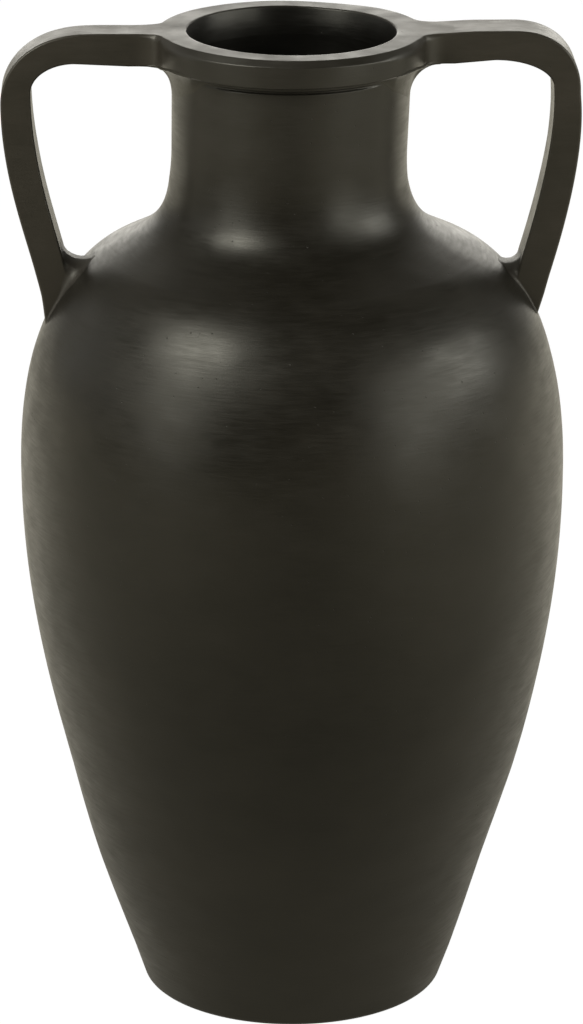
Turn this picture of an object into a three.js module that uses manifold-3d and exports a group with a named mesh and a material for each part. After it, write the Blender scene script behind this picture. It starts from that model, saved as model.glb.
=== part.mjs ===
// Two-handled vase of dark fired clay, as the pieces that a potter lutes together.
// Millimetres, +Z up. The origin is the middle of the foot, on the ground, and the front faces -Y.
// The two handles stand left and right, in the plane of X and Z.

import * as THREE from 'three';
import { mergeVertices } from 'three/addons/utils/BufferGeometryUtils.js';
import Module from 'manifold-3d';

// Outline of the body, from the foot up: each rise starts where the one before it ends
const FOOT_RADIUS = 91.6;
const FOOT_LEAN = 19.2; // degrees from upright, outwards
const BELLY_RISE = 332;
const BELLY_RADIUS = 164;
const SHOULDER_RISE = 134.4;
const SHOULDER_RADIUS = 111.7;
const SHOULDER_LEAN = 64.8; // degrees from upright, inwards
const NECK_ROOT_RISE = 61.4;
const NECK_RADIUS = 69.9;
const NECK_RISE = 54.9;
const NECK_TOP_RADIUS = 70.8;

// How long each end of a curve keeps its own direction, as a share of that curve's rise or run
const FOOT_PULL = 0.55;
const BELLY_PULL_BELOW = 0.21;
const BELLY_PULL_ABOVE = 0.77;
const SHOULDER_PULL_BELOW = 0.18;
const SHOULDER_PULL_ABOVE = 0.71;
const NECK_PULL = 0.68;

// Thickness of the wall, and of the disc that closes it below
const FOOT_WALL = 12;
const BELLY_WALL = 10;
const SHOULDER_WALL = 9;
const NECK_WALL = 9;
const BASE_THICKNESS = 14;
const FOOT_ARRIS = 4;
const FOOT_RING_WIDTH = 18;
const FOOT_RECESS = 2.5;
const RECESS_SLOPE = 3;

// Rim
const RIM_HEIGHT = 17.3;
const RIM_OVERHANG = 8.8;
const RIM_ARRIS = 3.4;
const RIM_UNDER_ARRIS = 0.8;
const MOUTH_ARRIS = 1.2;

// Joints between the sections of the wall
const BELLY_SEAM_DROP = 32; // below the widest place
const NECK_SEAM_RISE = 40; // above the top of the shoulder
const TONGUE_WIDTH = 3.2;
const TONGUE_HEIGHT = 4;
const SLIP_SEAM = 0.3; // the layer of slip between any two pieces

// Coils of clay pressed over the joints on the inside
const FLOOR_COIL_SIZE = 13;
const SEAM_COIL_HEIGHT = 24;
const SEAM_COIL_THICKNESS = 3;
const COIL_EDGE = 0.8;
const COVE_FILL = 0.3; // share of the way from the corner to the chord that a cove's curve is drawn in

// Handles
const HANDLE_DEPTH = 28;
const HANDLE_ARRIS = 1.2;
const HANDLE_REACH = 172; // from the middle of the vase to the outside of the handle
const ARM_THICKNESS = 18;
const CORNER_RADIUS = 31; // at the middle of the handle's thickness
const LIMB_TOP_THICKNESS = 17.2;
const LIMB_FOOT_THICKNESS = 18.4;
const LIMB_FOOT_RISE = 106.3; // above the widest place
const LIMB_FOOT_LEAN = 8; // degrees from upright, inwards
const LIMB_PULL_ABOVE = 0.42;
const LIMB_PULL_BELOW = 0.22;
const LIMB_TUCK = 22; // how far the limb would run on under the skin of the shoulder

// Luting of the arm to the rim and the neck
const ARM_FILLET_RADIUS = 13;
const UNDER_ARM_REACH = 10.6;
const UNDER_ARM_DROP = 14;
const UNDER_ARM_HOLD = 18; // degrees each side of the handle at full size
const UNDER_ARM_FADE = 42; // degrees each side of the handle where it dies out
const UNDER_ARM_LEAST = 0.25;

// Luting of the limb to the shoulder
const LIMB_FILLET_HEIGHT = 8;
const LIMB_FILLET_INSIDE = 8;
const LIMB_FILLET_OUTSIDE = 3;
const LIMB_FILLET_SIDE = 4.5;
const LIMB_FILLET_EDGE = 1;
const LIMB_FILLET_LEVELS = 4;

// Finish of the clay
const CLAY_OUTSIDE = '#2e2b25';
const CLAY_LUTING = '#2b2822';
const CLAY_INSIDE = '#1d1b16';
const OUTSIDE_ROUGHNESS = 0.42;
const INSIDE_ROUGHNESS = 0.7;

// Fineness
const TURN_STEPS = 48;
const BELLY_STEPS = 9;
const SHOULDER_STEPS = 8;
const NECK_ROOT_STEPS = 6;
const NECK_STEPS = 2;
const ARRIS_STEPS = 3;
const COVE_STEPS = 4;
const SEAM_COIL_STEPS = 4;
const CORNER_STEPS = 8;
const LIMB_STEPS = 9;
const FADE_STEPS = 12;
const LEAST_STEP = 1;

// Heights that follow from the rises
const BELLY_HEIGHT = BELLY_RISE;
const SHOULDER_HEIGHT = BELLY_HEIGHT + SHOULDER_RISE;
const NECK_HEIGHT = SHOULDER_HEIGHT + NECK_ROOT_RISE;
const RIM_UNDERSIDE = NECK_HEIGHT + NECK_RISE;
const RIM_TOP = RIM_UNDERSIDE + RIM_HEIGHT;
const BELLY_SEAM = BELLY_HEIGHT - BELLY_SEAM_DROP;
const NECK_SEAM = SHOULDER_HEIGHT + NECK_SEAM_RISE;
const RIM_RADIUS = NECK_TOP_RADIUS + RIM_OVERHANG;
const MOUTH_RADIUS = NECK_TOP_RADIUS - NECK_WALL;
const ARM_UNDERSIDE = RIM_TOP - ARM_THICKNESS;

const wasm = await Module();
wasm.setup();

const degrees = THREE.MathUtils.degToRad;
const lerp = THREE.MathUtils.lerp;
const point = (x, y) => new THREE.Vector2(x, y);

// Body outline

// The way a wall runs as it climbs, leaning outwards by so many degrees
function climb(leanDegrees) {
  return point(Math.sin(degrees(leanDegrees)), Math.cos(degrees(leanDegrees)));
}

// The curves of the outline from the ground to the underside of the rim, with the wall at each end
function outlineStretches() {
  const foot = point(FOOT_RADIUS, 0);
  const belly = point(BELLY_RADIUS, BELLY_HEIGHT);
  const shoulder = point(SHOULDER_RADIUS, SHOULDER_HEIGHT);
  const neck = point(NECK_RADIUS, NECK_HEIGHT);
  const top = point(NECK_TOP_RADIUS, RIM_UNDERSIDE);
  const footWay = climb(FOOT_LEAN);
  const shoulderWay = climb(-SHOULDER_LEAN);
  const upright = climb(0);
  const shoulderBelow = SHOULDER_PULL_BELOW * (BELLY_RADIUS - SHOULDER_RADIUS) / -shoulderWay.x;
  const shoulderAbove = SHOULDER_PULL_ABOVE * (SHOULDER_RADIUS - NECK_RADIUS) / -shoulderWay.x;
  return [
    {
      curve: new THREE.CubicBezierCurve(
        foot,
        foot.clone().addScaledVector(footWay, FOOT_PULL * BELLY_RISE / footWay.y),
        belly.clone().addScaledVector(upright, -BELLY_PULL_BELOW * BELLY_RISE),
        belly,
      ),
      steps: BELLY_STEPS,
      walls: [FOOT_WALL, BELLY_WALL],
    },
    {
      curve: new THREE.CubicBezierCurve(
        belly,
        belly.clone().addScaledVector(upright, BELLY_PULL_ABOVE * SHOULDER_RISE),
        shoulder.clone().addScaledVector(shoulderWay, -shoulderBelow),
        shoulder,
      ),
      steps: SHOULDER_STEPS,
      walls: [BELLY_WALL, SHOULDER_WALL],
    },
    {
      curve: new THREE.CubicBezierCurve(
        shoulder,
        shoulder.clone().addScaledVector(shoulderWay, shoulderAbove),
        neck.clone().addScaledVector(upright, -NECK_PULL * NECK_ROOT_RISE),
        neck,
      ),
      steps: NECK_ROOT_STEPS,
      walls: [SHOULDER_WALL, NECK_WALL],
    },
    {
      curve: new THREE.LineCurve(neck, top),
      steps: NECK_STEPS,
      walls: [NECK_WALL, NECK_WALL],
    },
  ];
}

// Points up the outline, moved out of the clay by `out`, or into it by the wall and `out` less
function outline(inside, out) {
  const line = [];
  for (const { curve, steps, walls } of outlineStretches()) {
    for (let step = line.length ? 1 : 0; step <= steps; step += 1) {
      const share = step / steps;
      const way = curve.getTangent(share);
      const offset = inside ? -lerp(walls[0], walls[1], share) - out : out;
      line.push(curve.getPoint(share).add(point(way.y, -way.x).multiplyScalar(offset)));
    }
  }
  return line;
}

// Where a climbing line passes a height
function at(line, height) {
  const next = Math.max(1, line.findIndex((p, index) => p.y >= height || index === line.length - 1));
  const [low, high] = [line[next - 1], line[next]];
  return low.clone().lerp(high, (height - low.y) / (high.y - low.y));
}

// The stretch of a climbing line between two heights
function between(line, low, high) {
  const middle = line.filter((p) => p.y > low + LEAST_STEP && p.y < high - LEAST_STEP);
  return [at(line, low), ...middle, at(line, high)];
}

const OUTSIDE = outline(false, 0);
const INSIDE = outline(true, 0);
const OUTSIDE_CLEAR = outline(false, SLIP_SEAM);
const INSIDE_CLEAR = outline(true, SLIP_SEAM);

// Points of an arc, from one angle to another, in degrees from outwards
function arc(centre, radius, from, to, steps) {
  const points = [];
  for (let step = 0; step <= steps; step += 1) {
    const angle = degrees(lerp(from, to, step / steps));
    points.push(point(centre.x + radius * Math.cos(angle), centre.y + radius * Math.sin(angle)));
  }
  return points;
}

// Points of a cove: a hollow curve from one side of a corner to the other
function cove(from, corner, to) {
  const chord = from.clone().lerp(to, 0.5);
  const pull = corner.clone().lerp(chord, COVE_FILL);
  return new THREE.QuadraticBezierCurve(from, pull, to).getPoints(COVE_STEPS);
}

// Making of solids

// A turned piece, from its section as points of radius and height, up the outside first
function turned(section) {
  const startsOnAxis = section[0].x === 0;
  const loop = startsOnAxis ? section : [...section, section[0]];
  return new THREE.LatheGeometry(loop, TURN_STEPS).rotateX(Math.PI / 2);
}

// A lofted piece, from rings of as many points each, closed by a fan at both ends
function lofted(rings) {
  const size = rings[0].length;
  const vertices = rings.flat();
  const faces = [];
  for (let ring = 0; ring + 1 < rings.length; ring += 1) {
    for (let side = 0; side < size; side += 1) {
      const a = ring * size + side;
      const b = ring * size + (side + 1) % size;
      faces.push(a, b, b + size, a, b + size, a + size);
    }
  }
  const last = (rings.length - 1) * size;
  for (let side = 1; side + 1 < size; side += 1) {
    faces.push(0, side + 1, side, last, last + side, last + side + 1);
  }
  return new THREE.BufferGeometry().setFromPoints(vertices).setIndex(faces);
}

// A closed geometry as a solid that can be cut and joined
function solid(geometry) {
  const bare = geometry.clone();
  bare.deleteAttribute('normal');
  bare.deleteAttribute('uv');
  const merged = mergeVertices(bare);
  return new wasm.Manifold(new wasm.Mesh({
    numProp: 3,
    vertProperties: new Float32Array(merged.attributes.position.array),
    triVerts: new Uint32Array(merged.index.array),
  }));
}

function geometryOf(cutSolid) {
  const mesh = cutSolid.getMesh();
  const geometry = new THREE.BufferGeometry();
  geometry.setAttribute('position', new THREE.BufferAttribute(mesh.vertProperties, 3));
  geometry.setIndex(new THREE.BufferAttribute(mesh.triVerts, 1));
  return geometry;
}

// Sections of the wall

// A tongue along the middle of a wall's top edge, as two points in and two points out
function tongue(outer, inner, height, clear) {
  const middle = (outer.x + inner.x) / 2;
  const half = TONGUE_WIDTH / 2 + clear;
  const top = height + TONGUE_HEIGHT + clear;
  return [
    point(middle + half, height),
    point(middle + half, top),
    point(middle - half, top),
    point(middle - half, height),
  ];
}

// A length of wall from one height to another, with a groove below or a tongue above
function wallSection(low, high, grooveBelow, tongueAbove) {
  const outer = between(OUTSIDE, low, high);
  const inner = between(INSIDE, low, high);
  const [outerTop, innerTop] = [outer.at(-1), inner.at(-1)];
  const groove = tongue(at(OUTSIDE, low), at(INSIDE, low), low, SLIP_SEAM).reverse();
  const tongueLine = tongue(outerTop, innerTop, high, 0);
  return turned([
    ...outer,
    ...(tongueAbove ? tongueLine : []),
    ...inner.reverse(),
    ...(grooveBelow ? groove : []),
  ]);
}

// The disc under the wall, with its edge rounded and its middle hollowed to leave a foot ring
function baseSection() {
  const sine = Math.sin(degrees(FOOT_LEAN));
  const cosine = Math.cos(degrees(FOOT_LEAN));
  const arrisCentre = point(FOOT_RADIUS - FOOT_ARRIS * (1 - sine) / cosine, FOOT_ARRIS);
  const ringInside = FOOT_RADIUS - FOOT_RING_WIDTH;
  const arris = arc(arrisCentre, FOOT_ARRIS, -90, -FOOT_LEAN, ARRIS_STEPS);
  return turned([
    point(0, FOOT_RECESS),
    point(ringInside - RECESS_SLOPE, FOOT_RECESS),
    point(ringInside, 0),
    ...arris,
    ...between(OUTSIDE, arris.at(-1).y + LEAST_STEP, BASE_THICKNESS),
    point(0, BASE_THICKNESS),
  ]);
}

// The ring of clay round the mouth, grooved below for the neck
function rimSection(grow) {
  const top = RIM_TOP + grow;
  const low = RIM_UNDERSIDE - grow;
  const outer = RIM_RADIUS + grow;
  const inner = MOUTH_RADIUS - grow;
  const groove = tongue(at(OUTSIDE, RIM_UNDERSIDE), at(INSIDE, RIM_UNDERSIDE), low, SLIP_SEAM);
  const under = point(outer - RIM_UNDER_ARRIS, low + RIM_UNDER_ARRIS);
  const over = point(outer - RIM_ARRIS, top - RIM_ARRIS);
  const mouth = point(inner + MOUTH_ARRIS, top - MOUTH_ARRIS);
  return turned([
    ...arc(under, RIM_UNDER_ARRIS, -90, 0, ARRIS_STEPS),
    ...arc(over, RIM_ARRIS, 0, 90, ARRIS_STEPS),
    ...arc(mouth, MOUTH_ARRIS, 90, 180, ARRIS_STEPS),
    point(inner, low),
    ...(grow ? [] : groove.reverse()),
  ]);
}

// The body from the ground to the underside of the rim, filled, as it is cut from what rests on it
function bodyFilled() {
  const side = between(OUTSIDE_CLEAR, LEAST_STEP, RIM_UNDERSIDE);
  return turned([point(0, LEAST_STEP), ...side, point(0, RIM_UNDERSIDE)]);
}

// Coils on the inside

// The coil pressed into the corner of floor and wall
function floorCoilSection() {
  const floor = BASE_THICKNESS + 2 * SLIP_SEAM;
  const side = between(INSIDE_CLEAR, floor, floor + FLOOR_COIL_SIZE);
  const [corner, high] = [side[0], side.at(-1)];
  const highEdge = point(high.x - COIL_EDGE, high.y);
  const lowEdge = point(corner.x - FLOOR_COIL_SIZE, floor + COIL_EDGE);
  return turned([
    point(lowEdge.x, floor),
    ...side,
    ...cove(highEdge, corner, lowEdge),
  ]);
}

// The coil smeared over a joint of the wall, thickest over the joint
function seamCoilSection(seam) {
  const low = seam - SEAM_COIL_HEIGHT / 2;
  const steps = SEAM_COIL_STEPS;
  const back = [];
  const face = [];
  for (let step = 0; step <= steps; step += 1) {
    const share = step / steps;
    const height = low + share * SEAM_COIL_HEIGHT;
    const thickness = COIL_EDGE + (SEAM_COIL_THICKNESS - COIL_EDGE) * Math.sin(Math.PI * share);
    const wall = at(INSIDE_CLEAR, height);
    back.push(wall);
    face.push(point(wall.x - thickness, height));
  }
  return turned([...back, ...face.reverse()]);
}

// Handles, drawn on the right of the vase

// The middle line of a handle in the plane of X and Z, with its thickness and its outward side
function handleStations() {
  const armHeight = RIM_TOP - ARM_THICKNESS / 2;
  const limbX = HANDLE_REACH - LIMB_TOP_THICKNESS / 2;
  const corner = point(limbX - CORNER_RADIUS, armHeight - CORNER_RADIUS);
  const landing = at(OUTSIDE, BELLY_HEIGHT + LIMB_FOOT_RISE);
  const limbTop = point(limbX, corner.y);
  const drop = limbTop.y - landing.y;
  const lean = climb(LIMB_FOOT_LEAN);
  const limb = new THREE.CubicBezierCurve(
    limbTop,
    point(limbX, limbTop.y - LIMB_PULL_ABOVE * drop),
    landing.clone().addScaledVector(lean, LIMB_PULL_BELOW * drop / lean.y),
    landing,
  );
  const stations = [
    { place: point(NECK_TOP_RADIUS, armHeight), out: point(0, 1), thickness: ARM_THICKNESS },
  ];
  for (let step = 0; step <= CORNER_STEPS; step += 1) {
    const share = step / CORNER_STEPS;
    const out = climb(90 * share);
    const thickness = lerp(ARM_THICKNESS, LIMB_TOP_THICKNESS, share);
    stations.push({ place: corner.clone().addScaledVector(out, CORNER_RADIUS), out, thickness });
  }
  for (let step = 1; step <= LIMB_STEPS; step += 1) {
    const share = step / LIMB_STEPS;
    const way = limb.getTangent(share);
    const thickness = lerp(LIMB_TOP_THICKNESS, LIMB_FOOT_THICKNESS, share);
    stations.push({ place: limb.getPoint(share), out: point(-way.y, way.x), thickness });
  }
  const tuck = landing.clone().addScaledVector(lean, -LIMB_TUCK);
  stations.push({ place: tuck, out: point(lean.y, -lean.x), thickness: LIMB_FOOT_THICKNESS });
  return stations;
}

// A shape drawn in X and Z, made as deep as said in Y with its edges rounded
function slab(points, depth) {
  const geometry = new THREE.ExtrudeGeometry(new THREE.Shape(points), {
    depth: depth - 2 * HANDLE_ARRIS,
    bevelThickness: HANDLE_ARRIS,
    bevelSize: HANDLE_ARRIS,
    bevelOffset: -HANDLE_ARRIS,
    bevelSegments: ARRIS_STEPS,
  });
  return geometry.translate(0, 0, HANDLE_ARRIS - depth / 2);
}

// A whole handle before it is cut to the vase, larger all round by `grow`
function handleFilled(grow) {
  const stations = handleStations();
  const edge = (side) => stations.map(({ place, out, thickness }) => (
    place.clone().addScaledVector(out, side * (thickness / 2 + grow))
  ));
  const sketch = [...edge(-1), ...edge(1).reverse()];
  return slab(sketch, HANDLE_DEPTH + 2 * grow).rotateX(Math.PI / 2);
}

// The web that fills the corners of arm, rim and neck
function armLutingFilled() {
  const half = HANDLE_DEPTH / 2;
  const centreY = half + ARM_FILLET_RADIUS;
  const centreX = Math.sqrt((RIM_RADIUS + ARM_FILLET_RADIUS) ** 2 - centreY ** 2);
  const rimSide = THREE.MathUtils.radToDeg(Math.atan2(centreY, centreX));
  const root = point(centreX, centreY).setLength(NECK_TOP_RADIUS);
  const fillet = arc(point(centreX, centreY), ARM_FILLET_RADIUS, rimSide - 180, -90, COVE_STEPS);
  const front = [root, ...fillet];
  const back = front.map((p) => point(p.x, -p.y)).reverse();
  const web = slab([...front, ...back], ARM_THICKNESS);
  web.translate(0, 0, RIM_TOP - ARM_THICKNESS / 2);
  return solid(web).add(solid(underArmCove()));
}

// The cove under the arm, which dies out to both sides round the neck
function underArmCove() {
  const rings = [];
  for (let step = 0; step <= FADE_STEPS; step += 1) {
    const turn = lerp(UNDER_ARM_FADE, -UNDER_ARM_FADE, step / FADE_STEPS);
    const beyond = Math.max(0, Math.abs(turn) - UNDER_ARM_HOLD) / (UNDER_ARM_FADE - UNDER_ARM_HOLD);
    const size = lerp(1, UNDER_ARM_LEAST, beyond);
    const root = NECK_TOP_RADIUS;
    const low = point(root, ARM_UNDERSIDE - UNDER_ARM_DROP * size);
    const far = point(root + UNDER_ARM_REACH * size, ARM_UNDERSIDE);
    const section = [
      point(root - RIM_UNDER_ARRIS, low.y),
      ...cove(low, point(root, ARM_UNDERSIDE), far),
      point(far.x, RIM_UNDERSIDE + RIM_UNDER_ARRIS),
      point(root - RIM_UNDER_ARRIS, RIM_UNDERSIDE + RIM_UNDER_ARRIS),
    ];
    const angle = degrees(turn);
    rings.push(section.map((p) => (
      new THREE.Vector3(p.x * Math.cos(angle), p.x * Math.sin(angle), p.y)
    )));
  }
  return lofted(rings);
}

// The collar of clay that joins the foot of the limb to the shoulder
function limbLutingFilled() {
  const landing = at(OUTSIDE, BELLY_HEIGHT + LIMB_FOOT_RISE);
  const above = at(OUTSIDE, landing.y + LIMB_FOOT_THICKNESS);
  const below = at(OUTSIDE, landing.y - LIMB_FOOT_THICKNESS);
  const slope = below.sub(above).normalize();
  const lean = climb(LIMB_FOOT_LEAN);
  const crossing = Math.abs(slope.x * lean.y - slope.y * lean.x);
  const halfLength = LIMB_FOOT_THICKNESS / 2 / crossing;
  const halfDepth = HANDLE_DEPTH / 2;
  const rings = [];
  for (let level = -1; level <= LIMB_FILLET_LEVELS; level += 1) {
    const share = level / LIMB_FILLET_LEVELS;
    const flare = (1 - Math.max(0, share)) ** 2;
    const inwards = halfLength + lerp(LIMB_FILLET_EDGE, LIMB_FILLET_INSIDE, flare) / crossing;
    const outwards = halfLength + lerp(LIMB_FILLET_EDGE, LIMB_FILLET_OUTSIDE, flare) / crossing;
    const sideways = halfDepth + lerp(LIMB_FILLET_EDGE, LIMB_FILLET_SIDE, flare);
    const centre = landing.clone()
      .addScaledVector(lean, share * LIMB_FILLET_HEIGHT / crossing)
      .addScaledVector(slope, (outwards - inwards) / 2);
    const radius = HANDLE_ARRIS + sideways - halfDepth;
    const edge = roundedRectangle((inwards + outwards) / 2, sideways, radius);
    rings.push(edge.map((p) => {
      const place = centre.clone().addScaledVector(slope, p.x);
      return new THREE.Vector3(place.x, p.y, place.y);
    }));
  }
  return lofted(rings);
}

// Points round a rectangle of the given half sides, with its corners rounded
function roundedRectangle(halfX, halfY, radius) {
  const corners = [[1, 1, 0], [-1, 1, 90], [-1, -1, 180], [1, -1, 270]];
  return corners.flatMap(([x, y, from]) => (
    arc(point(x * (halfX - radius), y * (halfY - radius)), radius, from, from + 90, ARRIS_STEPS)
  ));
}

// The pieces

function clay(colour, roughness) {
  return new THREE.MeshStandardMaterial({ color: colour, roughness, metalness: 0 });
}

function piece(name, geometry, colour, roughness) {
  const mesh = new THREE.Mesh(geometry, clay(colour, roughness));
  mesh.name = name;
  return mesh;
}

const outside = (name, geometry) => piece(name, geometry, CLAY_OUTSIDE, OUTSIDE_ROUGHNESS);
const luting = (name, geometry) => piece(name, geometry, CLAY_LUTING, OUTSIDE_ROUGHNESS);
const inside = (name, geometry) => piece(name, geometry, CLAY_INSIDE, INSIDE_ROUGHNESS);

const body = new THREE.Group();
body.add(
  outside('base_disc', baseSection()),
  outside('lower_wall', wallSection(BASE_THICKNESS + SLIP_SEAM, BELLY_SEAM, false, true)),
  outside('upper_wall', wallSection(BELLY_SEAM + SLIP_SEAM, NECK_SEAM, true, true)),
  outside('neck', wallSection(NECK_SEAM + SLIP_SEAM, RIM_UNDERSIDE - SLIP_SEAM, true, true)),
  outside('rim_ring', rimSection(0)),
  inside('floor_joint_coil', floorCoilSection()),
  inside('belly_seam_coil', seamCoilSection(BELLY_SEAM)),
  inside('neck_seam_coil', seamCoilSection(NECK_SEAM)),
);

const bodySpace = solid(bodyFilled()).add(solid(rimSection(SLIP_SEAM)));
const handleSpace = solid(handleFilled(SLIP_SEAM));
const handle = geometryOf(solid(handleFilled(0)).subtract(bodySpace));
const armLuting = geometryOf(armLutingFilled().subtract(bodySpace).subtract(handleSpace));
const limbLuting = geometryOf(solid(limbLutingFilled()).subtract(bodySpace).subtract(handleSpace));

// Both sides are alike, the left one half a turn round from the right one
function handleSide(side, turn) {
  const group = new THREE.Group();
  group.add(
    outside(`handle_${side}`, handle),
    luting(`arm_luting_${side}`, armLuting),
    luting(`limb_luting_${side}`, limbLuting),
  );
  group.rotation.z = turn;
  return group;
}

const vase = new THREE.Group();
vase.add(body, handleSide('right', 0), handleSide('left', Math.PI));

export default vase;
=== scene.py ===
"""Two-handled vase of dark burnished clay, built up by hand from luted pieces.

Lengths below are millimetres, and every mesh is made in metres from them. The vase stands on the
ground with its foot's middle at the origin, its handles along X and its front towards -Y.
"""

import math

import bmesh
import bpy
import numpy as np
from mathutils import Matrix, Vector

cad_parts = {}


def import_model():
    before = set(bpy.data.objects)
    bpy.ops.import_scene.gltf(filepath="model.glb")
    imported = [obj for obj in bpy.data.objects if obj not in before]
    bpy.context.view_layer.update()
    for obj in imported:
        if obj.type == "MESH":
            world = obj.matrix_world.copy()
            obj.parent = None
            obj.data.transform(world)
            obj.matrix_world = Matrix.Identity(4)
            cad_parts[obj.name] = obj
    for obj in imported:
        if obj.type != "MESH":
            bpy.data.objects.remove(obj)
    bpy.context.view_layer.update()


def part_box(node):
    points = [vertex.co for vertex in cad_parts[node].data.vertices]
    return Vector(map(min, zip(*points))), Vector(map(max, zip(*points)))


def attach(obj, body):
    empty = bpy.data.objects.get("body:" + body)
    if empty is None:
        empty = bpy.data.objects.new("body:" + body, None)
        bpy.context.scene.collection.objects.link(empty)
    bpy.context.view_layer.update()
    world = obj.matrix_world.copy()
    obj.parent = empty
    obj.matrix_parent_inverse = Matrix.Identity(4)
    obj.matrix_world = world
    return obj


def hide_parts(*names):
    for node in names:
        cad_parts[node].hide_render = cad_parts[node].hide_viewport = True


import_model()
MM = 0.001


def side_of(node, end, axis):
    """Where a CAD node ends along an axis, in millimetres: end 0 is its low side, 1 its high side."""
    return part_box(node)[end][axis] / MM


# Sizes that the CAD nodes give
RIM_TOP = side_of("rim_ring", 1, 2)
RIM_UNDERSIDE = side_of("rim_ring", 0, 2)
RIM_RADIUS = side_of("rim_ring", 1, 0)
BASE_TOP = side_of("base_disc", 1, 2)
BELLY_SEAM = side_of("upper_wall", 0, 2)
NECK_SEAM = side_of("neck", 0, 2)
BELLY_RADIUS = side_of("upper_wall", 1, 0)
# Outline of the body: how far out, how high and how steep each stretch of it starts
FOOT_RADIUS = 91.6
FOOT_LEAN = 19.2  # degrees from upright, outwards
BELLY_HEIGHT = 332.0
SHOULDER_RADIUS = 111.7
SHOULDER_HEIGHT = 466.4
SHOULDER_LEAN = 64.8  # degrees from upright, inwards
NECK_RADIUS = 69.9
NECK_HEIGHT = 527.8
NECK_TOP_RADIUS = 70.8
FOOT_PULL, BELLY_PULL_BELOW = 0.55, 0.21
BELLY_PULL_ABOVE, SHOULDER_PULL_BELOW = 0.77, 0.18
SHOULDER_PULL_ABOVE, NECK_PULL = 0.71, 0.68

# How far the vase leans to the right at so many heights
LEAN_HEIGHTS = (0, 22, 43, 63, 83, 103, 123, 143, 163, 200, 300, 400, 440, 480, 510, 535, 560, 583)
LEANS = (0.3, 0.6, 0.2, -0.3, -0.6, -0.3, 0.35, 1.1, 1.3, 1.1, 0.5, 0.2, 1.0, -1.0, -1.8, -1.1, -0.4, 0)
LEAN_FADE = 25.0  # how far out from the body's skin the handles no longer lean with it

# Lumps of the body, which draw it in from the true round by a share of its radius
LUMP_DEPTH = 0.0011
THREE_LUMPS = 0.6  # the wave of three lumps round it, against the wave of two
LUMPS_END = 1.2  # in shares of the height: they are full up to 0.2, and a fifth of that at the top

# How far the rim sags in the middle, and how much more for each millimetre to the right and back
RIM_SAG, SAG_TO_RIGHT, SAG_TO_BACK = 0.43, 0.0093, -0.0066
LEAST_SAG, MOST_SAG = 0.25, 1.3
SAG_START, SAG_RISE = 2.0, 11.0  # it starts so far above the rim's underside, and is full so much higher
SAG_RADIUS, SAG_FADE = 112.0, 30.0  # it ends so far from the axis, and is full so much nearer
DIP_DEPTH = 0.9  # where a thumb pressed the rim
DIP_TURN, DIP_WIDTH = 68.0, 0.35  # degrees from the right arm towards the back, and radians

# Thickness of the wall at the foot, belly, shoulder and neck
FOOT_WALL, BELLY_WALL, SHOULDER_WALL, NECK_WALL = 12.0, 10.0, 9.0, 9.0

# Foot
FOOT_ARRIS = 4.0
FOOT_RING_WIDTH = 18.0
FOOT_RECESS = 2.5
RECESS_SLOPE = 3.0
RECESS_ROUNDING = 0.3  # share of the slope that is rounded off at each end
RECESS_HUB = 12.0  # radius of the disc's middle faces, above and below
WALL_FOOT = BASE_TOP + 0.3  # the slip on the base disc fills up to here

# Rim, and the slab that runs from it into the arms
MOUTH_RADIUS = NECK_TOP_RADIUS - NECK_WALL
MOUTH_ARRIS = 1.2
MOUTH_FLARE = 2.0  # how much narrower the mouth is at the foot of the rim
CRISP = 0.45  # how far a crisp edge is rubbed off
ARM_ARRIS = 0.9
WEB_ARRIS = (1.5, 2.2)  # how far in and how far down it goes where the web ends
WEB_BLUR = 1.4  # and how far it is blurred below
WEB_CREASE = 4.0  # how far the crease is smoothed to each side, at most
CREASE_SHARE = 0.4  # and at most this share of the web's curve
WEB_START = 96.0  # from the axis to where the arm alone goes on
ARM_NEAREST = 84.0  # the arm's straight faces are drawn in to here where a web doesn't start sooner
UNDERSIDE_BLEND = 12.0  # degrees beyond the web over which the underside comes up to the ring's

# The ring's upper arris at so many degrees beyond the web: it gets crisp towards the middle
RING_TURNS = (0.0, 6.0, 26.0, 38.0, 60.0)
RING_INSETS = {"front": (1.7, 2.8, 3.1, 3.3, 3.4), "back": (1.2, 1.3, 1.8, 2.6, 3.5)}
RING_DROPS = {"front": (2.8, 4.2, 4.1, 3.8, 3.5), "back": (1.6, 1.8, 2.4, 3.0, 3.5)}
RING_BLURS = {"front": (1.6, 2.6, 2.4, 0.6, 0.5), "back": (0.8, 0.8, 0.8, 0.6, 0.5)}
UNDER_TURNS, UNDER_ARRISES = (0, 32, 44), (1.1, 1.1, 0.6)  # its lower arris, in the same way

# Cove under the rim: how far it reaches out and down at so many degrees from the arm. At the first
# two of them it reaches as far as the strap says.
COVE_TURNS = (0.0, 12.0, 24.0, 34.0, 40.0, 46.0, 90.0)
COVE_REACHES = (8.6, 7.6, 5.2, 1.8, 1.4)
COVE_DROPS = (20.0, 19.0, 15.5, 11.5, 6.6, 1.8, 1.6)
COVE_MARGIN = 0.8  # between the cove and the edge above it
COVE_ROOT, COVE_TOP = 2.0, 2.0  # how far it runs on into the neck and up into the ring
BEAD_TURNS = (7.0, 14.0, 32.0, 42.0)  # where its clay is pushed up over the rim's lower edge
BEAD_SIZES = (0.0, 0.9, 0.8, 0.0)

# Line left open between rim and neck, where no cove covers it
GROOVE_BELOW_RIM = 4.2
GROOVE_WIDTH, GROOVE_DEPTH = 2.38, 1.1
GROOVE_CLEARANCE = 1.7  # the neck's own points this near to its middle are left out
GROOVE_PLACES = (-1.0, -0.8, -0.45, -0.15, 0.15, 0.45, 0.8, 1.0)  # over its half width
GROOVE_SHAPE = (0.0, 0.12, 0.75, 1.0, 1.0, 0.75, 0.12, 0.0)  # over its depth
GROOVE_FADE = (0.5, 0.74)  # it fades towards the arms, between these shares of the radius

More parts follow.
